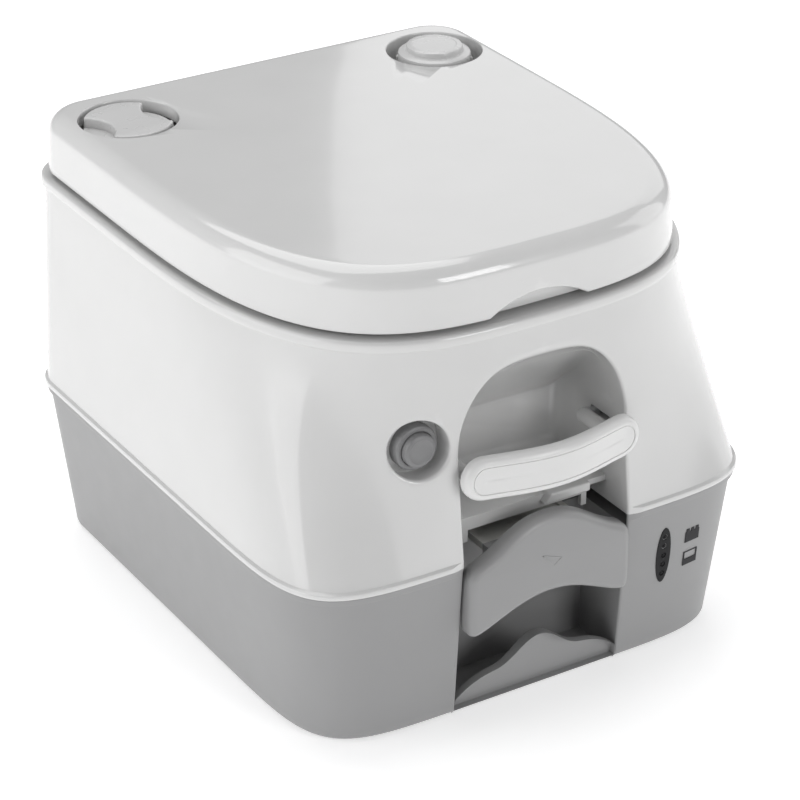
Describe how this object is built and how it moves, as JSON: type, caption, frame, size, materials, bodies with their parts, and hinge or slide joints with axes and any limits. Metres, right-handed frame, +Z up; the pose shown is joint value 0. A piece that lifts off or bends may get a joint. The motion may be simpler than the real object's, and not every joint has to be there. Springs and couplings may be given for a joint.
{
  "type": "portable toilet",
  "caption": "Free-standing portable flush toilet: white upper unit with bowl, seat, lid and pump on a grey waste tank with a slide valve.",
  "frame": {"origin": "middle of the waste tank's flat base, on the floor", "axes": "+Z up, -Y to the front where the handles are, +X to the right seen from the front"},
  "size_m": [0.3514, 0.4075, 0.3149],
  "materials": {
    "white_shell": "glossy injection moulded ABS",
    "white_lid": "glossy injection moulded ABS",
    "white_seat": "glossy injection moulded ABS",
    "white_caps": "glossy injection moulded ABS",
    "white_handle": "satin moulded plastic",
    "bowl_white": "glossy moulded ABS",
    "tank_grey": "satin blow moulded polyethylene",
    "valve_grey": "satin moulded plastic",
    "inner_grey": "moulded plastic",
    "button_grey": "satin moulded plastic",
    "natural_plastic": "natural moulded acetal",
    "window_black": "glossy tinted acrylic prism lens",
    "print_black": "printed mark",
    "rubber_black": "moulded seal rubber",
    "steel": "stainless steel"
  },
  "bodies": {
    "waste_unit": {"waste_tank": "tank_grey", "valve_body": "inner_grey", "valve_seal": "rubber_black", "valve_screws": "steel", "level_window": "window_black", "level_icons": "print_black", "vent_spring": "steel"},
    "slide_valve": {"valve_blade": "natural_plastic", "valve_handle": "valve_grey", "handle_screws": "steel"},
    "spout": {"pour_spout": "tank_grey", "spout_ring": "rubber_black"},
    "spout_seal": {"spout_gasket": "rubber_black"},
    "spout_closure": {"spout_cap": "white_caps"},
    "vent": {"vent_button": "button_grey"},
    "upper_unit": {"upper_shell": "white_shell", "bowl": "bowl_white", "outlet_seal": "rubber_black", "fill_neck": "white_caps", "pump_cylinder": "white_caps", "pump_guide": "inner_grey", "foot_valve": "rubber_black", "flush_valve": "inner_grey", "button_collar": "button_grey", "flush_spring": "steel", "dip_tube": "inner_grey", "flush_tube": "inner_grey", "rim_nozzle": "inner_grey", "hinge_brackets": "white_shell", "hinge_screws": "steel", "hinge_pins": "steel", "latch_pin": "steel", "latch_spring": "steel"},
    "filler_seal": {"fill_gasket": "rubber_black"},
    "filler_cap": {"fill_cap": "white_caps"},
    "plunger": {"pump_rod": "steel", "pump_piston": "inner_grey", "piston_seal": "rubber_black"},
    "pump_grip": {"pump_knob": "white_caps"},
    "flush_push": {"flush_button": "button_grey"},
    "handle": {"carry_handle": "white_handle", "handle_face": "white_handle", "handle_pins": "steel"},
    "seat_ring": {"seat": "white_seat", "seat_buffers": "rubber_black"},
    "lid_panel": {"lid": "white_lid", "lid_buffers": "rubber_black"},
    "latch": {"tank_latch": "button_grey"}
  },
  "joints": [
    {"name": "upper_lift", "type": "slide", "parent": "waste_unit", "child": "upper_unit", "axis": [0, 0, 1], "range_m": [0, 0.2]},
    {"name": "valve_pull", "type": "slide", "parent": "waste_unit", "child": "slide_valve", "axis": [0, -1, 0], "range_m": [0, 0.105]},
    {"name": "spout_swing", "type": "hinge", "parent": "waste_unit", "child": "spout", "pos_m": [0.118, 0.159, 0.074], "axis": [0, 0, -1], "range_deg": [0, 90]},
    {"name": "spout_cap_pull", "type": "slide", "parent": "spout", "child": "spout_seal", "axis": [-1, 0, 0], "range_m": [0, 0.025]},
    {"name": "spout_cap_turn", "type": "hinge", "parent": "spout_seal", "child": "spout_closure", "pos_m": [-0.032, 0.159, 0.074], "axis": [-1, 0, 0], "range_deg": [0, 270]},
    {"name": "vent_press", "type": "slide", "parent": "waste_unit", "child": "vent", "axis": [0, 0, -1], "range_m": [0, 0.003], "stiffness_N_per_m": 400, "deforming": ["vent_spring"]},
    {"name": "fill_cap_lift", "type": "slide", "parent": "upper_unit", "child": "filler_seal", "axis": [0, 0, 1], "range_m": [0, 0.04]},
    {"name": "fill_cap_turn", "type": "hinge", "parent": "filler_seal", "child": "filler_cap", "pos_m": [-0.119, 0.132, 0.3], "axis": [0, 0, 1], "range_deg": [0, 120]},
    {"name": "pump_pull", "type": "slide", "parent": "upper_unit", "child": "plunger", "axis": [0, 0, 1], "range_m": [0, 0.07]},
    {"name": "pump_knob_turn", "type": "hinge", "parent": "plunger", "child": "pump_grip", "pos_m": [0.119, 0.132, 0.3], "axis": [0, 0, 1], "range_deg": [0, 90]},
    {"name": "flush_press", "type": "slide", "parent": "upper_unit", "child": "flush_push", "axis": [0, 1, 0], "range_m": [0, 0.006], "stiffness_N_per_m": 400, "deforming": ["flush_spring"]},
    {"name": "handle_pull", "type": "slide", "parent": "upper_unit", "child": "handle", "axis": [0, -1, 0], "range_m": [0, 0.014]},
    {"name": "seat_lift", "type": "hinge", "parent": "upper_unit", "child": "seat_ring", "pos_m": [0, 0.196, 0.276], "axis": [-1, 0, 0], "range_deg": [0, 85]},
    {"name": "lid_lift", "type": "hinge", "parent": "seat_ring", "child": "lid_panel", "pos_m": [0, 0.196, 0.276], "axis": [-1, 0, 0], "range_deg": [0, 95]},
    {"name": "latch_press", "type": "hinge", "parent": "upper_unit", "child": "latch", "pos_m": [0, 0.187, 0.14], "axis": [1, 0, 0], "range_deg": [0, 12], "stiffness_Nm_per_rad": 0.5, "deforming": ["latch_spring"]}
  ]
}
